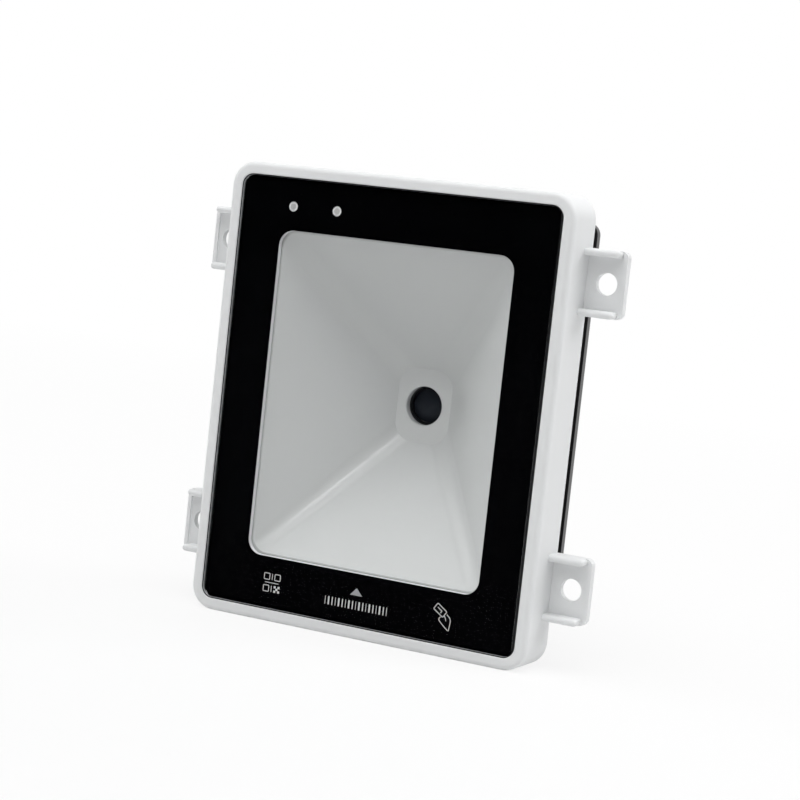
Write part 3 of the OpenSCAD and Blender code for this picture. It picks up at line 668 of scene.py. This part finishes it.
lens_finish = lamp_lens_finish()
for lens_name, lens_x in lamp_xs.items():
    lens_points, lens_faces = dome(lens_x, lamp_z, mask_back - LAMP_PLAY, lens_r,
                                   (mask_back - mask_front) * LAMP_RISE)
    lamp_lens = new_piece(lens_name, lens_points, lens_faces, lens_finish, smooth=True)
    radius_share = np.hypot(lens_points[:, 0] - lens_x, lens_points[:, 2] - lamp_z) / lens_r
    lamp_lens.data.attributes.new("radial", "FLOAT", "POINT").data.foreach_set("value", radius_share)
    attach(lamp_lens, "root")


# Studio, in metres and watts

FLOOR_Z = cad_box[0][2]
FLOOR_REACH = 2.6
WALL_BACK = 1.3
BEND = 0.5
BEND_STEPS = 17
PAPER_WHITE = 0.8
# How much of the paper's white is its own, at distances behind the object's middle
PAPER_GLOW = [(-0.3, 0.0), (-0.04, 0.82), (0.15, 0.9), (0.7, 1.0)]
# The room is dim up to a low share of the way up, and brightest from a high one
ROOM_DIM = 0.02
ROOM_TOP = 0.54
ROOM_LOW = 0.15
ROOM_HIGH = 0.8


def paper_sweep():
    """A sheet of paper carried across x: flat on the floor from the front, a quarter circle at the back, and
    straight up from there."""
    turn = np.linspace(0, math.pi / 2, BEND_STEPS)
    bend_y = WALL_BACK - BEND + BEND * np.sin(turn)
    bend_z = FLOOR_Z + BEND - BEND * np.cos(turn)
    along_y = np.concatenate([[-FLOOR_REACH], bend_y, [WALL_BACK]])
    along_z = np.concatenate([[FLOOR_Z], bend_z, [FLOOR_Z + FLOOR_REACH]])
    across = np.array([-FLOOR_REACH, FLOOR_REACH])
    x, y = np.meshgrid(across, along_y)
    z = np.repeat(along_z[:, None], len(across), axis=1)
    points = np.stack([x, y, z], axis=-1).reshape(-1, 3) / MM
    return points, grid_faces(len(along_y), len(across), False)


def paper_glow(tree):
    """The share of the paper's white that is its own, by a ramp along the object's y."""
    front, back = PAPER_GLOW[0][0], PAPER_GLOW[-1][0]
    ramp = add_node(tree, "ShaderNodeValToRGB")
    tree.links.new(ranged(tree, coordinate(tree, "Y"), front, back), ramp.inputs["Fac"])
    stops = ramp.color_ramp.elements
    while len(stops) < len(PAPER_GLOW):
        stops.new(1)
    for stop, (distance, share) in zip(stops, PAPER_GLOW):
        stop.position = (distance - front) / (back - front)
        stop.color = (share, share, share, 1)
    return ramp.outputs["Color"]


def paper_finish():
    """White paper. Behind the object it shows near white to the camera, to mirrors and through glass, with a
    share of its lit colour, so that shadows stay. In front it is lit paper alone."""
    material, tree, shader = new_material("white studio paper")
    grain = moulded_grain(tree, (PAPER_WHITE, PAPER_WHITE, PAPER_WHITE), grains=60, color_spread=0.01)
    set_inputs(tree, shader, {"Base Color": grain["Color"], "Roughness": 0.9, "Specular IOR Level": 0.1})
    path = add_node(tree, "ShaderNodeLightPath").outputs
    seen = calculated(tree, "MAXIMUM", path["Is Camera Ray"], path["Is Glossy Ray"])
    seen = calculated(tree, "MAXIMUM", seen, path["Is Transmission Ray"])
    own_share = calculated(tree, "MULTIPLY", seen, paper_glow(tree))
    glow = add_node(tree, "ShaderNodeEmission")
    show_mixed(tree, own_share, shader.outputs["BSDF"], glow.outputs["Emission"])
    return material


def soft_lamp(name, place, side, power):
    """A square area lamp, turned to the middle of the object."""
    lamp = bpy.data.lights.new(name, "AREA")
    lamp.shape = "SQUARE"
    lamp.size = side
    lamp.energy = power
    holder = bpy.data.objects.new(name, lamp)
    holder.location = place
    holder.rotation_euler = (-Vector(place)).to_track_quat("-Z", "Y").to_euler()
    bpy.context.scene.collection.objects.link(holder)


def studio_room():
    """A room that is dim at the level of the object and brighter overhead, by a smooth rise with the upward
    part of the direction. The camera itself sees white where the paper ends."""
    world = bpy.data.worlds.new("studio room")
    world.use_nodes = True
    tree = world.node_tree
    upward = coordinate(tree, "Z", kind="Generated")
    light = ranged(tree, upward, ROOM_LOW, ROOM_HIGH, ROOM_DIM, ROOM_TOP, rise="SMOOTHSTEP")
    path = add_node(tree, "ShaderNodeLightPath")
    set_inputs(tree, tree.nodes["Background"], {
        "Color": (1, 1, 1, 1),
        "Strength": calculated(tree, "MAXIMUM", light, path.outputs["Is Camera Ray"]),
    })
    return world


paper = new_piece("studio_paper", *paper_sweep(), paper_finish(), smooth=True)
soft_lamp("overhead softbox", place=(0.1, -0.35, 1.1), side=1.0, power=9.8)
soft_lamp("right rear softbox", place=(1.0, 0.5, 0.7), side=0.6, power=5.4)
soft_lamp("left softbox", place=(-1.2, -0.3, 0.5), side=0.9, power=3.7)
soft_lamp("small front lamp", place=(0.2, -0.91, 0.75), side=0.09, power=0.6)
bpy.context.scene.world = studio_room()


# Camera at the photograph's angle: place and lens in millimetres, angles in degrees

CAMERA_PLACE = (223.7, -451.8, 46.4)
CAMERA_AZIMUTH = 26.32
CAMERA_ELEVATION = 5.05
CAMERA_ROLL = 6.22
CAMERA_LENS = 99.0
CAMERA_CLIP = 10

azimuth, elevation, roll = (math.radians(angle) for angle in (CAMERA_AZIMUTH, CAMERA_ELEVATION, CAMERA_ROLL))
forward = Vector((-math.sin(azimuth) * math.cos(elevation), math.cos(azimuth) * math.cos(elevation),
                  -math.sin(elevation)))
camera = bpy.data.objects.new("camera", bpy.data.cameras.new("camera"))
camera.data.lens = CAMERA_LENS
camera.data.clip_start = CAMERA_CLIP * MM
camera.location = Vector(CAMERA_PLACE) * MM
level = forward.to_track_quat("-Z", "Y").to_matrix()
camera.rotation_euler = (level @ Matrix.Rotation(roll, 3, "Z")).to_euler()
bpy.context.scene.collection.objects.link(camera)
bpy.context.scene.camera = camera
bpy.context.scene.view_settings.view_transform = "Standard"
